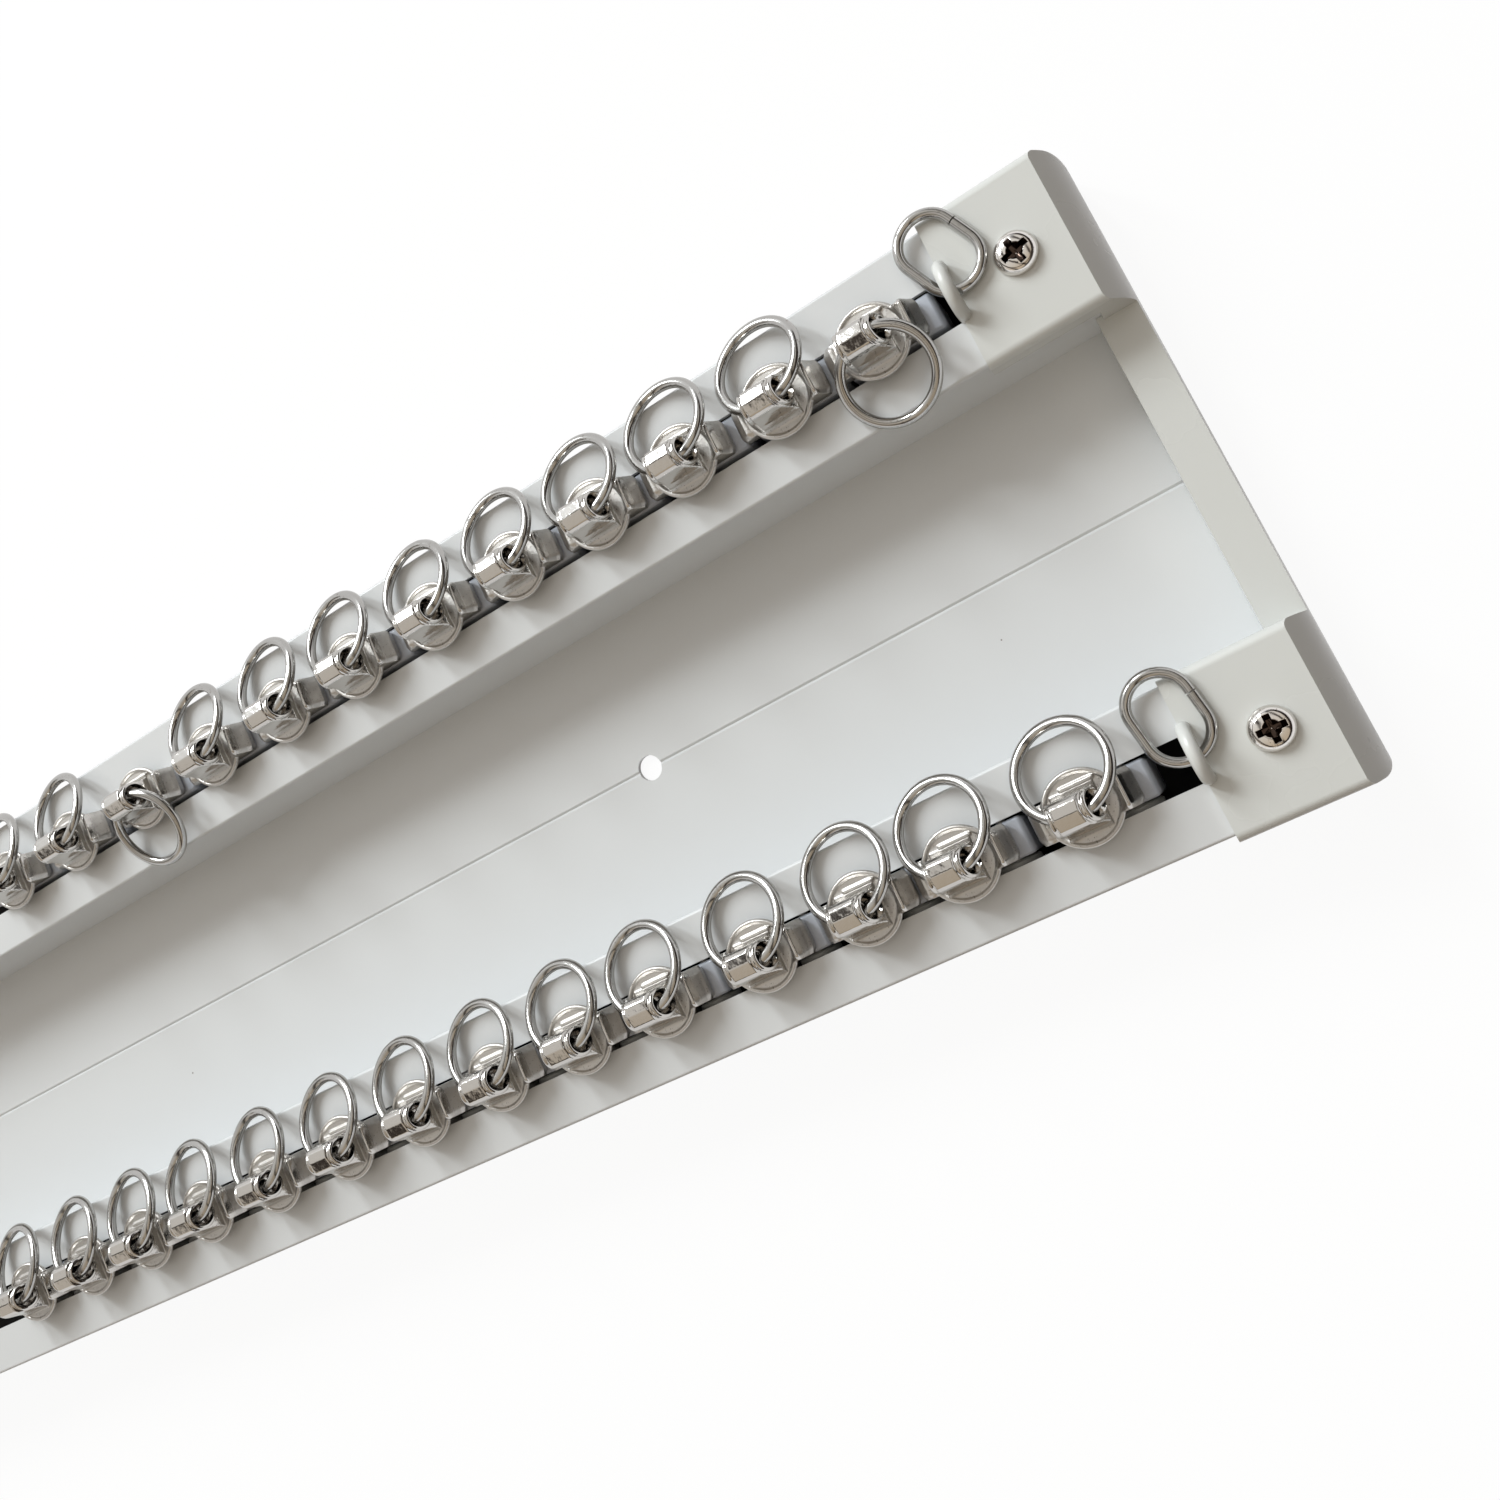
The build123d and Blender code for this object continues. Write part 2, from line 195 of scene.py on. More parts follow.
# The liners are black damping strips that line each channel, slid in from the end.
# They are soft extruded rubber, matt with a dry bloom, and quieten the wheels.
def black_liner():
    """Matt black rubber with a faint grey bloom."""
    clean, bloom = (0.010, 0.010, 0.011), (0.035, 0.034, 0.033)
    material, tree, shader = new_finish("black_liner", clean, 0.62)
    shader.inputs["Specular IOR Level"].default_value = 0.3
    patches = place_effect(tree, faint_patches, Scale=60.0, Amount=0.8)
    vary_colour(tree, shader, patches.outputs["Patches"], clean, bloom)
    drawn = noise(tree, scale=900.0, detail=4.0, stretch=(0.1, 1, 1))
    bump(tree, shader, drawn, depth=0.03 * mm, strength=0.5)
    return material


dress("channel_liners", black_liner())


# The end caps are injection moulded in off-white plastic: a cover over each channel end,
# a low band across the web, a rounded nose, and two arches for the tie-off links. Each
# is pushed over the profile's end and held by its two screws.
def cap_plastic():
    """Off-white moulded plastic, satin, its gloss a little uneven."""
    clean, dusty = (0.655, 0.662, 0.640), (0.36, 0.33, 0.30)
    material, tree, shader = new_finish("cap_plastic", clean, 0.30)
    specks = place_effect(tree, dust_specks, Spacing=110.0, Size=0.014)
    vary_colour(tree, shader, specks.outputs["Specks"], clean, dusty)
    patches = place_effect(tree, faint_patches, Scale=30.0, Amount=0.6)
    vary_gloss(tree, shader, patches.outputs["Patches"], 0.22, 0.34)
    bump(tree, shader, noise(tree, scale=320.0), depth=0.03 * mm, strength=0.3)
    return material


moulded = cap_plastic()
for cap in ("end_cap_right", "end_cap_left"):
    dress(cap, moulded)


# The cap screws are nickel plated pan heads with a cross recess, two in each cap, driven
# through the cover into the nuts inside the channels.
head_height, head_radius, head_bevel = 2.2, 3.75, 0.08
shank_radius, shank_length, shank_chamfer = 2.0, 8.0, 0.3
recess_depth, recess_half_length, recess_half_width, recess_taper = 1.8, 2.75, 0.66, 0.55
# Where the painted recess shade lies on a screw head: its top and bottom heights and its reach from the axis.
painted_recess_shade_top, painted_recess_shade_bottom, painted_recess_shade_reach = 1.92, 0.15, 2.85
clear_of_head = 2.6
screw_turns = {(1, 1): 14, (1, -1): 89, (-1, 1): 40, (-1, -1): 75}
doubles_apart = 1e-7


def shell(name, rows, closed=False):
    """A solid skin over rows of points, each row a closed loop; closed joins the last row to the first."""
    mesh = bpy.data.meshes.new(name)
    form = bmesh.new()
    loops = [[form.verts.new(point) for point in row] for row in rows]
    around = len(rows[0])
    pairs = list(zip(loops, loops[1:] + loops[:1])) if closed else list(zip(loops, loops[1:]))
    for low, high in pairs:
        for i in range(around):
            j = (i + 1) % around
            form.faces.new((low[i], low[j], high[j], high[i]))
    if not closed:
        form.faces.new(list(reversed(loops[0])))
        form.faces.new(loops[-1])
    bmesh.ops.remove_doubles(form, verts=form.verts, dist=doubles_apart)
    bmesh.ops.recalc_face_normals(form, faces=form.faces)
    form.to_mesh(mesh)
    form.free()
    return mesh


def turned(name, outline, steps, axis="Z"):
    """A solid turned about an axis, from (radius, height) points that start and end at radius 0."""
    rows = []
    for radius, height in outline:
        ring = []
        for k in range(steps):
            a = 2 * math.pi * k / steps
            u, v = radius * math.cos(a), radius * math.sin(a)
            ring.append({"X": (height, u, v), "Y": (v, height, u), "Z": (u, v, height)}[axis])
        rows.append(ring)
    return shell(name, rows)


def extruded(name, outline, start, end, axis="X", draft=1.0):
    """A prism from an outline of (u, v) points along X or Z, its far end scaled by draft."""
    rows = []
    for along, k in ((start, 1.0), (end, draft)):
        rows.append([{"X": (along, u * k, v * k), "Z": (u * k, v * k, along)}[axis] for u, v in outline])
    return shell(name, rows)


def rectangle(half_u, half_v, shift=0.0):
    """The corners of a rectangle, its middle moved along u by shift."""
    return [(shift - half_u, -half_v), (shift + half_u, -half_v), (shift + half_u, half_v),
            (shift - half_u, half_v)]


def moved(mesh, place):
    """The mesh after a move."""
    mesh.transform(place)
    return mesh


def combined(name, meshes):
    """One mesh that holds all of the given ones."""
    form = bmesh.new()
    for mesh in meshes:
        form.from_mesh(mesh)
    result = bpy.data.meshes.new(name)
    form.to_mesh(result)
    form.free()
    return result


def shaped(mesh, steps):
    """The mesh after a list of modifiers, each a type and its settings."""
    holder = bpy.data.objects.new("holder", mesh)
    bpy.context.scene.collection.objects.link(holder)
    for kind, settings in steps:
        modifier = holder.modifiers.new(kind.lower(), kind)
        for key, value in settings.items():
            setattr(modifier, key, value)
    ready = holder.evaluated_get(bpy.context.evaluated_depsgraph_get())
    result = bpy.data.meshes.new_from_object(ready)
    result.name = mesh.name
    bpy.data.objects.remove(holder)
    return result


def cut_from(mesh, cutter):
    """The mesh with the cutter's shape taken out of it."""
    tool = bpy.data.objects.new("cutter", cutter)
    bpy.context.scene.collection.objects.link(tool)
    result = shaped(mesh, [("BOOLEAN", {"object": tool, "operation": "DIFFERENCE", "solver": "EXACT"})])
    bpy.data.objects.remove(tool)
    return result


def add_piece(name, mesh, material, body, replaced, place, smooth=40):
    """Stand a mesh in the scene as a piece that rides on a body and stands for CAD nodes."""
    if not mesh.materials:
        mesh.materials.append(material)
        mesh.shade_smooth()
        mesh.set_sharp_from_angle(angle=math.radians(smooth))
    piece = bpy.data.objects.new(name, mesh)
    piece.matrix_world = place
    bpy.context.scene.collection.objects.link(piece)
    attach(piece, body)
    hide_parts(*replaced)


def millimetres(mesh):
    """Turn a mesh drawn in millimetres into metres."""
    return moved(mesh, Matrix.Scale(mm, 4))


def make_worn_metal():
    """Fine pits, rubbed patches and grain of a plated casting or wire."""
    group, given, result = new_effect("worn_metal", {"Grain": 1500.0, "Patches": 300.0},
                                      ["Height", "Dull", "Dark"])
    where = on_piece(group)
    grain = put(group, "ShaderNodeTexNoise",
                {"Vector": where, "Scale": given.outputs["Grain"], "Detail": 4.0, "Roughness": 0.6})
    cloud = put(group, "ShaderNodeTexNoise",
                {"Vector": where, "Scale": given.outputs["Patches"], "Detail": 5.0})
    group.links.new(grain.outputs["Fac"], result.inputs["Height"])
    group.links.new(ramp(group, cloud.outputs["Fac"], 0.40, 0.68), result.inputs["Dull"])
    group.links.new(ramp(group, grain.outputs["Fac"], 0.60, 0.72), result.inputs["Dark"])
    return group


worn_metal = make_worn_metal()


def plated(name, clean, dark, glossy, dull, grain, depth):
    """Plated metal whose gloss and tone vary with its grain, its patches five times as coarse."""
    material, tree, shader = new_finish(name, clean, glossy, 1.0)
    wear = place_effect(tree, worn_metal, Grain=grain, Patches=grain * 0.2)
    vary_colour(tree, shader, wear.outputs["Dark"], clean, dark)
    vary_gloss(tree, shader, wear.outputs["Dull"], glossy, dull)
    bump(tree, shader, wear.outputs["Height"], depth, strength=0.5)
    return material


def screw_nickel():
    """Bright nickel plate, its cross recess painted near-black brown as shade."""
    clean, dark, painted_recess_shade = (0.74, 0.71, 0.68), (0.40, 0.35, 0.31), (0.060, 0.042, 0.034)
    material, tree, shader = new_finish("screw_nickel", clean, 0.12, 1.0)
    wear = place_effect(tree, worn_metal, Grain=1400.0, Patches=420.0)
    place = put(tree, "ShaderNodeSeparateXYZ", {"Vector": on_piece(tree)}).outputs
    flat = put(tree, "ShaderNodeCombineXYZ", {"X": place["X"], "Y": place["Y"]})
    out = put(tree, "ShaderNodeVectorMath", {"Vector": flat.outputs["Vector"]}, operation="LENGTH")
    # Painted shade: inside the cross recess the base colour turns near-black brown, standing in for the dark
    # of the recess.
    below = calculate(tree, "LESS_THAN", place["Z"], painted_recess_shade_top * mm)
    above = calculate(tree, "GREATER_THAN", place["Z"], painted_recess_shade_bottom * mm)
    inside = calculate(tree, "LESS_THAN", out.outputs["Value"], painted_recess_shade_reach * mm)
    recess = calculate(tree, "MULTIPLY", calculate(tree, "MULTIPLY", below, above), inside)
    vary_colour(tree, shader, recess, tint(tree, wear.outputs["Dark"], clean, dark), painted_recess_shade)
    vary_gloss(tree, shader, wear.outputs["Dull"], 0.09, 0.18)
    bump(tree, shader, wear.outputs["Height"], depth=0.02 * mm, strength=0.4)
    return material


def screw_mesh():
    """Pan head with a rounded rim, a plain shank and a tapered cross recess."""
    outline = [(0, head_height), (1.6, 2.18), (2.6, 2.02), (3.2, 1.68), (3.58, 1.15), (3.74, 0.55),
               (head_radius, 0.12), (3.62, 0), (shank_radius, 0),
               (shank_radius, shank_chamfer - shank_length), (shank_radius - shank_chamfer, -shank_length),
               (0, -shank_length)]
    body = turned("cap_screw", outline, 64)
    for turn in (0, 90):
        arm = extruded("arm", rectangle(recess_half_length, recess_half_width), clear_of_head,
                       head_height - recess_depth, "Z", recess_taper)
        body = cut_from(body, moved(arm, Matrix.Rotation(math.radians(turn), 4, "Z")))
    point = [(0, clear_of_head), (1.65, clear_of_head), (0.8, 0.6), (0, 0.1)]
    body = cut_from(body, turned("point", point, 24))
    body = shaped(body, [("BEVEL", {"width": head_bevel, "segments": 2, "limit_method": "ANGLE",
                                    "angle_limit": math.radians(50)})])
    return millimetres(body)


screw_form, screw_metal = screw_mesh(), screw_nickel()
screw_low, screw_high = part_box("cap_screws")
for (end, side), turn in screw_turns.items():
    x = screw_high.x - head_radius * mm if end > 0 else screw_low.x + head_radius * mm
    y = screw_high.y - head_radius * mm if side > 0 else screw_low.y + head_radius * mm
    stand = Matrix.Translation((x, y, screw_high.z - head_height * mm))
    stand = stand @ Matrix.Rotation(math.radians(turn), 4, "Z")
    name = f"cap_screw_{'right' if end > 0 else 'left'}_{'rear' if side > 0 else 'front'}"
    add_piece(name, screw_form, screw_metal, "track", ["cap_screws"], stand, 35)


# The clamp nuts are square zinc plated plates inside the channels, wider than the slot,
# that the cap screws pull up against the lips.
zinc_plate = plated("zinc_plate", (0.55, 0.56, 0.58), (0.36, 0.36, 0.36), 0.35, 0.55, 500.0, 0.03 * mm)
dress("clamp_nuts", zinc_plate)


# The oval links are round steel wire, nickel plated, bent to an oval with its two ends
# butted on one straight. Each hangs in the right cap's arch and lies over on the cover.
wire_metal = plated("wire_nickel", (0.44, 0.43, 0.415), (0.26, 0.24, 0.22), 0.12, 0.20, 1600.0, 0.006 * mm)
wire_steps, draw_marks = 36, ((3, 0.016, 0.05), (7, 0.008, -0.08))
link_wire, link_end, link_half = 0.95, 5.2, 2.55
link_turn = {"rear": 23.5, "front": 7.8}
joint_gap, joint_from_bend = 0.26, 1.1
bend_steps, straight_steps = 24, 5


def wire_section(radius, along):
    """The wire's outline at a place along it, nearly round with the faint flats that drawing leaves.

    Each draw mark is a count of flats, their depth as a share of the radius, and their twist."""
    points = []
    for k in range(wire_steps):
        a = 2 * math.pi * k / wire_steps
        drawn = sum(depth * math.cos(count * a + twist * along) for count, depth, twist in draw_marks)
        points.append((radius * (1 + drawn) * math.cos(a), radius * (1 + drawn) * math.sin(a)))
    return points


def wire_along(path, radius):
    """A drawn wire with closed ends along a list of points in the plane z = 0."""
    rows = []
    for i, point in enumerate(path):
        before, after = path[max(i - 1, 0)], path[min(i + 1, len(path) - 1)]
        way = (Vector(after) - Vector(before)).normalized()
        side = Vector((-way.y, way.x, 0))
        rows.append([Vector(point) + u * side + v * Vector((0, 0, 1))
                     for u, v in wire_section(radius, i)])
    return shell("wire", rows)


def link_mesh():
    """The oval's wire, from one side of its joint round to the other."""
    joint = link_half - joint_from_bend
    path = [(link_end, joint + joint_gap / 2 + k * joint_from_bend / 3, 0) for k in range(3)]
    for middle, first in ((link_half, 0), (-link_half, math.pi)):
        for k in range(bend_steps + 1):
            a = first + math.pi * k / bend_steps
            path.append((link_end * math.cos(a), middle + link_end * math.sin(a), 0))
    path += [(link_end, -link_half + k * (joint + link_half) / straight_steps, 0)
             for k in range(1, straight_steps)]
    path.append((link_end, joint - joint_gap / 2, 0))
    return millimetres(wire_along(path, link_wire))


link_form = link_mesh()
for track, turn in link_turn.items():
    node = f"{track}_oval_link"
    low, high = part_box(node)
    stand = Matrix.Translation((low + high) / 2) @ Matrix.Rotation(math.radians(turn), 4, "Z")
    add_piece(f"{track}_tie_link", link_form, wire_metal, f"{track}_link", [node], stand)


# The hangers are zinc castings plated bright: a bar over the slot with a wedge foot at
# each end, a round flange, and a knuckle bored for the ring. A square stem below is
# pressed into the trolley.
base_shift = 1.0
bar_half_length, bar_half_width, bar_bottom, bar_short = 9.0, 3.4, 0.4, 2.0
flange_radius, flange_bottom, flange_top = 6.8, 2.4, 3.2
hollow_radius, hollow_wall = 6.0, 0.6
polished_above, raw_below = 5.6, 3.6
ridge_reach, ridge_half, ridge_height = 7.1, 0.3, {-1: 3.6, 1: 5.8}
toe_height, toe_reach = 1.7, {-1: 9.0, 1: 9.4}
toe_bevel, toe_rise, toe_pull = 0.5, 0.8, 0.6
corner_start, corner_drop = 0.7, 0.9
stem_half, stem_bottom = 2.3, -4.3
bore_height, mouth_reach = 7.4, 4.15
saddle_left, saddle_right, saddle_cut = -3.2, 4.4, 0.9
eyelet_shift, eyelet_lift, eyelet_lean = 3.75, 0.25, 30
bead_shift, bead_side, bead_lift = 1.8, 4.15, 0.3
cast_grain = 0.13


def cast_chrome():
    """Bright plate over a zinc casting: polished on the knuckle, grainy down on the flange."""
    clean, dark = (0.54, 0.52, 0.495), (0.09, 0.07, 0.06)
    material, tree, shader = new_finish("cast_chrome", clean, 0.12, 1.0)
    height = put(tree, "ShaderNodeSeparateXYZ", {"Vector": on_piece(tree)}).outputs["Z"]
    raw = ramp(tree, height, polished_above * mm, raw_below * mm)
    wear = place_effect(tree, worn_metal, Grain=2600.0, Patches=380.0)
    vary_colour(tree, shader, calculate(tree, "MULTIPLY", wear.outputs["Dark"], raw), clean, dark)
    vary_gloss(tree, shader, raw, 0.10, 0.36)
    grain = calculate(tree, "MULTIPLY", wear.outputs["Height"], raw)
    ripple = noise(tree, scale=620.0, detail=2.0)
    relief = calculate(tree, "ADD", calculate(tree, "MULTIPLY", grain, 0.6), ripple)
    bump(tree, shader, relief, depth=0.09 * mm, strength=0.6)
    return material


def foot_mesh(way):
    """A wedge foot whose inner face follows the flange, with a ridge and a long slope to its toe."""
    rows = []
    top, toe = ridge_height[way], toe_reach[way]
    for k in range(17):
        y = bar_half_width * (k / 8 - 1)
        inner = math.sqrt(hollow_radius**2 - y**2)
        edge = max(abs(y) / bar_half_width - corner_start, 0) / (1 - corner_start)
        crown = corner_drop * edge**2
        outline = [(inner - hollow_wall, bar_bottom), (inner - hollow_wall, flange_top), (inner, flange_top),
                   (ridge_reach - ridge_half, top - crown), (ridge_reach + ridge_half, top - crown),
                   (toe - toe_bevel - toe_pull * edge, toe_height + toe_rise),
                   (toe - toe_pull * edge, toe_height), (toe - toe_pull * edge, bar_bottom)]
        rows.append([(base_shift + way * x, y, z) for x, z in outline])
    return shell("foot", rows)


def hanger_mesh():
    """The whole casting, its forms run together with cast fillets and then bored."""
    bore_place = Matrix.Translation((0, 0, bore_height))
    eyelet_place = Matrix.Translation((eyelet_shift, 0, bore_height + eyelet_lift))
    eyelet_place = eyelet_place @ Matrix.Rotation(math.radians(-eyelet_lean), 4, "Y")
    rim = [(0, flange_bottom), (flange_radius - 0.35, flange_bottom), (flange_radius, flange_bottom + 0.3),
           (flange_radius, flange_top + 0.1), (flange_radius - 0.3, flange_top + 0.35),
           (flange_radius - 0.7, flange_top + 0.3), (flange_radius - 0.95, flange_top), (0, flange_top)]
    flange = moved(turned("flange", rim, 72), Matrix.Translation((base_shift, 0, 0)))
    bar = extruded("bar", rectangle(bar_half_length - bar_short, bar_half_width, base_shift),
                   bar_bottom, flange_top, "Z")
    stem = extruded("stem", rectangle(stem_half, stem_half), stem_bottom, flange_top, "Z")
    section = [(-2.1, 2.42), (0.1, 2.95), (1.9, 2.55), (2.5, 2.1), (2.85, 1.2), (2.95, -1.2), (3.05, -2.6),
               (3.3, -3.6), (3.7, -4.1), (4.3, -4.2), (4.3, -4.8), (-4.6, -4.8), (-4.6, -4.3), (-4.0, -3.4),
               (-3.5, -2.0), (-3.2, -0.4), (-3.0, 0.8), (-2.7, 1.8)]
    saddle = extruded("saddle", [(y, bore_height + z) for y, z in section], saddle_left, saddle_right)
    away = extruded("away", rectangle(4.5, 8), 0, 8)
    saddle = cut_from(saddle, moved(away, eyelet_place @ Matrix.Translation((-saddle_cut, 0, 0))))
    barrel = turned("barrel", [(0, -mouth_reach), (2.6, -mouth_reach), (2.9, -4.0), (2.95, -3.6),
                               (2.7, -3.3), (2.6, -3.0), (2.6, 2.0), (0, 2.0)], 48, "X")
    barrel = moved(barrel, bore_place)
    eyelet = turned("eyelet", [(0, -3.6), (2.3, -3.4), (2.62, -1.4), (2.62, -0.95), (2.92, -0.75),
                               (2.98, -0.35), (2.8, -0.05), (2.5, 0.05), (0, 0.05)], 48, "X")
    eyelet = moved(eyelet, eyelet_place)
    bead = turned("bead", [(0, -3.1), (0.25, -3.05), (0.34, -2.8), (0.34, 2.8), (0.25, 3.05), (0, 3.1)],
                  16, "X")
    bead = moved(bead, Matrix.Translation((bead_shift, bead_side, flange_top + bead_lift)))
    rough = combined("hanger", [flange, bar, stem, saddle, barrel, eyelet, bead, foot_mesh(-1), foot_mesh(1)])
    cast = shaped(rough, [("REMESH", {"mode": "VOXEL", "voxel_size": cast_grain}),
                          ("SMOOTH", {"factor": 0.5, "iterations": 3}),
                          ("DECIMATE", {"ratio": 0.35})])
    bore = turned("bore", [(0, -5.5), (2.62, -5.5), (2.62, -4.4), (2.42, -4.1), (2.2, -3.6), (2.04, -3.0),
                           (1.96, -2.3), (1.96, 3.4), (0, 3.4)], 40, "X")
    mouth = turned("mouth", [(0, -3.2), (1.5, -3.0), (1.75, -2.0), (1.8, -1.2), (1.95, -0.7), (2.3, -0.2),
                             (2.6, 0.5), (2.6, 3.0), (0, 3.0)], 40, "X")
    cast = cut_from(cast, moved(bore, bore_place))
    return millimetres(cut_from(cast, moved(mouth, eyelet_place)))


hanger_form, cast_metal = hanger_mesh(), cast_chrome()


# The trolleys are moulded in blue-grey nylon and run in the slot below the hangers, with
# a socket for the stem. Each has four acetal wheels on two steel axles that run on the
# liner behind the slot's lips.
def nylon(name, clean, deep, gloss):
    """Moulded nylon, faintly cloudy, with a soft sheen."""
    material, tree, shader = new_finish(name, clean, gloss)
    cloud = ramp(tree, noise(tree, scale=230.0, detail=4.0), 0.38, 0.66)
    vary_colour(tree, shader, cloud, clean, deep)
    shader.inputs["Coat Weight"].default_value = 0.15
    bump(tree, shader, noise(tree, scale=900.0), depth=0.02 * mm, strength=0.4)
    return material


body_nylon = nylon("blue_grey_nylon", (0.49, 0.52, 0.58), (0.41, 0.44, 0.50), 0.38)
wheel_nylon = nylon("wheel_acetal", (0.62, 0.62, 0.60), (0.50, 0.50, 0.48), 0.40)
axle_steel = plated("axle_steel", (0.50, 0.50, 0.50), (0.30, 0.30, 0.30), 0.25, 0.40, 700.0, 0.01 * mm)
body_left, body_right, body_half, body_top, body_bottom = -5.5, 13.1, 3.45, -0.15, -13.2
body_bevel = 0.12
wheel_radius, wheel_inner, wheel_width = 4.2, 3.75, 4.0
axle_places, axle_height, axle_radius, axle_proud = (-0.7, 8.3), -6.3, 1.0, 0.5


def trolley_mesh():
    """A block with broken edges, its ends drawn in a little."""
    rows = []
    for x, drop, pinch in ((body_left, 0.9, 0.5), (body_left + 0.5, 0.25, 0.05), (body_left + 0.9, 0, 0),
                           (body_right - 0.9, 0, 0), (body_right - 0.5, 0.25, 0.05), (body_right, 1.0, 0.6)):
        half, top = body_half - pinch, body_top - drop
        rows.append([(x, -half + 0.45, top), (x, half - 0.45, top), (x, half, top - 0.45),
                     (x, half, body_bottom + 0.5), (x, half - 0.5, body_bottom),
                     (x, -half + 0.5, body_bottom), (x, -half, body_bottom + 0.5), (x, -half, top - 0.45)])
    block = shell("trolley", rows)
    return millimetres(shaped(block, [("BEVEL", {"width": body_bevel, "segments": 2, "limit_method": "ANGLE",
                                                 "angle_limit": math.radians(25)})]))


def wheels_mesh():
    """Four wheels with a shallow tread groove and a hub boss."""
    r, w = wheel_radius, wheel_width
    outline = [(0, 0), (1.7, 0), (1.8, 0.25), (3.2, 0.25), (3.4, 0), (r - 0.3, 0), (r, 0.3), (r, w / 2 - 0.4),
               (r - 0.2, w / 2), (r, w / 2 + 0.4), (r, w - 0.3), (r - 0.3, w), (3.4, w), (3.2, w - 0.25),
               (1.8, w - 0.25), (1.7, w), (0, w)]
    wheels = []
    for x in axle_places:
        for y in (wheel_inner, -wheel_inner - wheel_width):
            wheels.append(moved(turned("wheel", outline, 40, "Y"), Matrix.Translation((x, y, axle_height))))
    return millimetres(combined("wheels", wheels))


def axles_mesh():
    """Two axles with domed ends that stand a little proud of the wheels."""
    reach = wheel_inner + wheel_width + axle_proud
    outline = [(0, -reach), (0.7, -reach + 0.05), (axle_radius, -reach + 0.3), (axle_radius, reach - 0.3),
               (0.7, reach - 0.05), (0, reach)]
    pins = [moved(turned("pin", outline, 24, "Y"), Matrix.Translation((x, 0, axle_height)))
            for x in axle_places]
    return millimetres(combined("axles", pins))


trolley_form, wheels_form, axles_form = trolley_mesh(), wheels_mesh(), axles_mesh()
face_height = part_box("track_profile")[1].z
foot_left = (bar_half_length - base_shift) * mm
for node in sorted(nodes):
    if "_carrier_" not in node:
        continue
    low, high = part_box(node)
    stand = Matrix.Translation((low.x + foot_left, (low.y + high.y) / 2, face_height))
    number = node.replace("_carrier_", "_{}_")
    add_piece(number.format("hanger"), hanger_form, cast_metal, node, [node], stand, 50)
    add_piece(number.format("trolley"), trolley_form, body_nylon, node, [node], stand)
    add_piece(number.format("wheels"), wheels_form, wheel_nylon, node, [node], stand)
    add_piece(number.format("axles"), axles_form, axle_steel, node, [node], stand)


# The rings are nickel plated steel wire, welded shut and threaded through the knuckles.
# Each has slid a little in its bore and lies tilted, clear of the face.
ring_radius, ring_wire, ring_steps, ring_twist = 8.4, 1.0, 96, 20
weld_step, weld_spread, weld_height = 22, 1.4, 0.05


def ring_mesh():
    """A ring of drawn wire, its weld a little thicker."""
    rows = []
    for k in range(ring_steps):
        a = 2 * math.pi * k / ring_steps
        weld = weld_height * math.exp(-((k - weld_step) / weld_spread) ** 2)
        out = Vector((math.cos(a), math.sin(a), 0))
        rows.append([out * (ring_radius + u) + Vector((0, 0, v))
                     for u, v in wire_section(ring_wire + weld, ring_twist * math.cos(a))])
    return millimetres(shell("ring", rows, closed=True))


def lying_plane(node):
    """The middle of a flat node, and the turn that lays the plane z = 0 in its plane."""
    mesh = nodes[node].data
    points = np.empty(len(mesh.vertices) * 3)
    mesh.vertices.foreach_get("co", points)
    points = points.reshape(-1, 3)
    spread = np.cov((points - points.mean(axis=0)).T)
    across = nodes[node].matrix_world.to_3x3() @ Vector(np.linalg.eigh(spread)[1][:, 0])
    if across.z < 0:
        across.negate()
    low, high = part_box(node)
    return (low + high) / 2, across.to_track_quat("Z", "Y").to_matrix().to_4x4()


ring_form = ring_mesh()
random.seed(7)
for node in sorted(nodes):
    if "_ring_" not in node:
        continue
    middle, lie = lying_plane(node)
    stand = Matrix.Translation(middle) @ lie @ Matrix.Rotation(random.uniform(0, 2 * math.pi), 4, "Z")
    add_piece(f"{node}_wire", ring_form, wire_metal, node, [node], stand)


# The track lies on a plain pale floor in soft daylight. The two panes of a window shine
# from the rear left, in a dim warm room whose beamed ceiling shows in the metal.
floor_half, floor_drop, floor_glow = 12.0, 0.0002, 0.93
floor_bounce, floor_white = (0.17, 0.135, 0.115, 1), (0.98, 0.98, 0.98, 1)
wall_colour, dim_ceiling, bright_ceiling = (0.042, 0.032, 0.027), (0.60, 0.505, 0.385), (0.86, 0.84, 0.80)
window_colour, backdrop_colour = (1.25, 1.28, 1.30), (1.0, 1.0, 1.0)
window_way, across_beams, ceiling_way = (-0.42, 0.91, 0.25), (0.91, 0.42, 0), (-0.42, 0, 1)
ceiling_fade, window_edge = (-0.45, 0.75), (0.70, 0.97)
beam_pitch, beam_edge, wall_top, backdrop_height = 11.0, (-1.0, -0.55), (0.40, 0.52), (0.37, 0.33)
pane_azimuth, pane_spread, pane_rise, pane_far = 114.8, 11.0, 0.76, 2.2
pane_width, pane_height, pane_power, pane_colour = 0.28, 0.95, 20.0, (0.93, 0.98, 1.0)
pane_aim = Vector((0.15, 0, 0.01))


def shown_directly(tree):
    """1 to the eye and in reflections, 0 as a bounce for light."""
    seen = put(tree, "ShaderNodeLightPath").outputs
    eye = calculate(tree, "ADD", seen["Is Camera Ray"], seen["Is Glossy Ray"])
    both = put(tree, "ShaderNodeMath", {0: eye, 1: seen["Is Transmission Ray"]}, operation="ADD",
               use_clamp=True)
    return both.outputs[0]


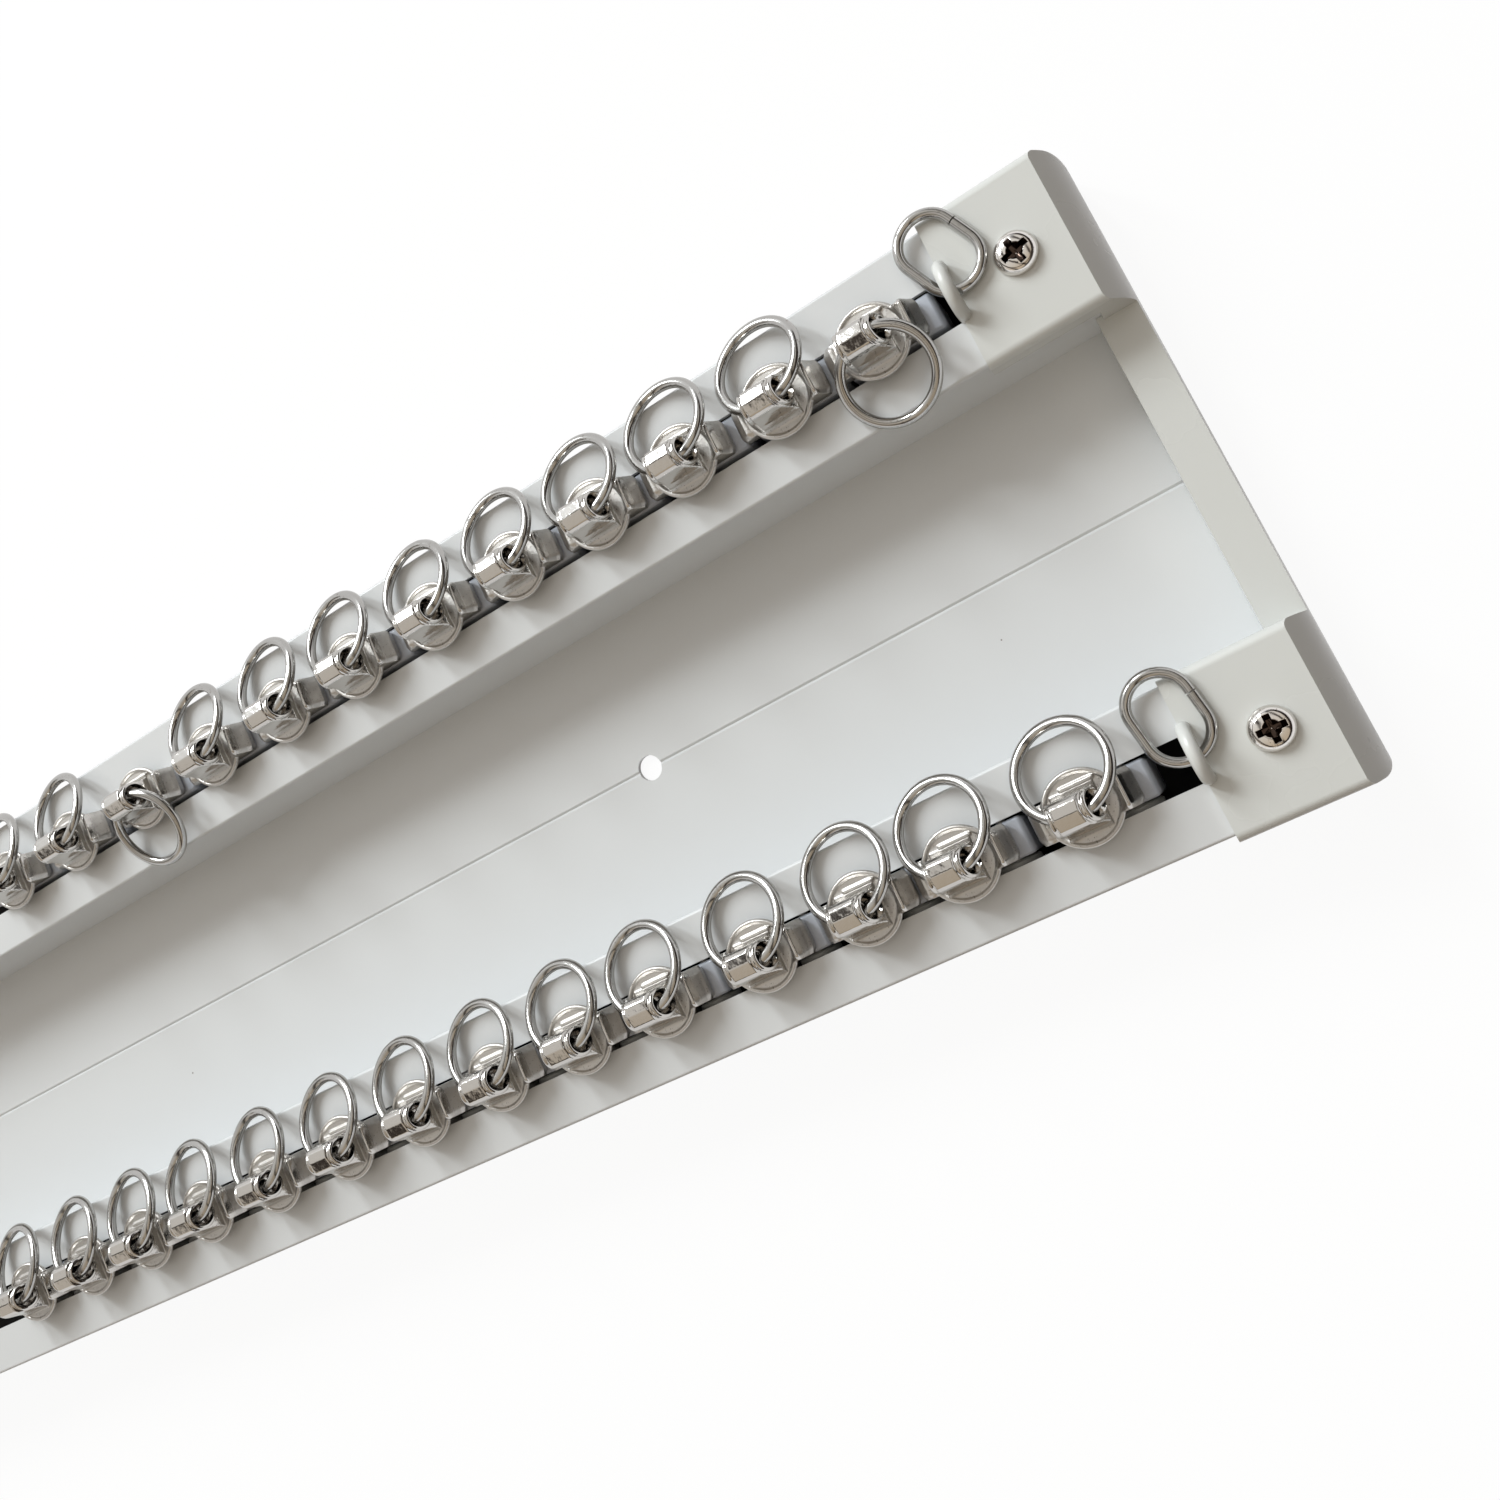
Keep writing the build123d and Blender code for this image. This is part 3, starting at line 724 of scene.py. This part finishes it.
def floor_finish():
    """Pale floor, white to look at and duller as a bounce for light."""
    material = bpy.data.materials.new("pale_floor")
    material.use_nodes = True
    tree = material.node_tree
    tree.nodes.clear()
    bounce = put(tree, "ShaderNodeBsdfDiffuse", {"Color": floor_bounce})
    white = put(tree, "ShaderNodeBsdfDiffuse", {"Color": floor_white})
    lit = put(tree, "ShaderNodeEmission", {"Color": (1, 1, 1, 1), "Strength": 1.0})
    shown = put(tree, "ShaderNodeMixShader", {0: floor_glow, 1: white.outputs[0], 2: lit.outputs[0]})
    mixed = put(tree, "ShaderNodeMixShader",
                {0: shown_directly(tree), 1: bounce.outputs[0], 2: shown.outputs[0]})
    put(tree, "ShaderNodeOutputMaterial", {"Surface": mixed.outputs[0]})
    return material


def lay_floor():
    """The floor, a hair below the track."""
    mesh = bpy.data.meshes.new("floor")
    mesh.from_pydata([(*corner, 0) for corner in rectangle(floor_half, floor_half)], [], [(0, 1, 2, 3)])
    mesh.materials.append(floor_finish())
    floor = bpy.data.objects.new("floor", mesh)
    floor.location.z = -floor_drop
    bpy.context.scene.collection.objects.link(floor)


def facing(tree, way, toward):
    """How far a direction points toward another."""
    return put(tree, "ShaderNodeVectorMath", {0: way, 1: toward}, operation="DOT_PRODUCT").outputs["Value"]


def make_room():
    """Dark walls, a ceiling with beams that is brighter toward the window, and the window's glow."""
    world = bpy.data.worlds.new("room")
    bpy.context.scene.world = world
    world.use_nodes = True
    sky = world.node_tree
    way = put(sky, "ShaderNodeTexCoord").outputs["Generated"]
    to_window = facing(sky, way, Vector(window_way).normalized())
    ceiling = tint(sky, ramp(sky, to_window, *ceiling_fade), dim_ceiling, bright_ceiling)
    along = calculate(sky, "MULTIPLY", facing(sky, way, Vector(across_beams).normalized()), beam_pitch)
    between_beams = ramp(sky, calculate(sky, "SINE", along), *beam_edge)
    above = ramp(sky, facing(sky, way, ceiling_way), *wall_top)
    room = tint(sky, calculate(sky, "MULTIPLY", between_beams, above), wall_colour, ceiling)
    room = tint(sky, ramp(sky, to_window, *window_edge), room, window_colour)
    height = put(sky, "ShaderNodeSeparateXYZ", {"Vector": way}).outputs["Z"]
    backdrop = calculate(sky, "MULTIPLY", shown_directly(sky), ramp(sky, height, *backdrop_height))
    room = tint(sky, backdrop, room, backdrop_colour)
    sky.links.new(room, sky.nodes["Background"].inputs["Color"])


def add_pane(name, azimuth):
    """One pane of the window, a soft lamp that shines at the middle of the track's right half."""
    lamp = bpy.data.lights.new(name, "AREA")
    lamp.shape = "RECTANGLE"
    lamp.size, lamp.size_y = pane_width, pane_height
    lamp.energy, lamp.color = pane_power, pane_colour
    holder = bpy.data.objects.new(name, lamp)
    toward = Vector((math.cos(azimuth), math.sin(azimuth), pane_rise)).normalized()
    holder.location = pane_aim + toward * pane_far
    holder.rotation_mode = "QUATERNION"
    holder.rotation_quaternion = (pane_aim - holder.location).to_track_quat("-Z", "Y")
    bpy.context.scene.collection.objects.link(holder)


lay_floor()
make_room()
add_pane("left_pane", math.radians(pane_azimuth + pane_spread))
add_pane("right_pane", math.radians(pane_azimuth - pane_spread))

# The camera looks down from the front right over the right end, turned so that the
# track runs up to the right.
camera_place, camera_aim = Vector((0.29113, -0.03922, 0.26790)), Vector((0.19244, -0.00077, 0.0202))
picture_up = math.radians(62.84)
lens_data = bpy.data.cameras.new("camera")
lens_data.sensor_width, lens_data.lens = 36.0, 34.416
lens_data.shift_x, lens_data.shift_y = 0.0619, 0.0014
camera = bpy.data.objects.new("camera", lens_data)
back = (camera_place - camera_aim).normalized()
right = Vector((math.cos(picture_up), math.sin(picture_up), 0)).cross(back).normalized()
up = back.cross(right)
camera.matrix_world = Matrix.Translation(camera_place) @ Matrix((right, up, back)).transposed().to_4x4()
bpy.context.scene.collection.objects.link(camera)
bpy.context.scene.camera = camera
bpy.context.scene.view_settings.view_transform = "Standard"
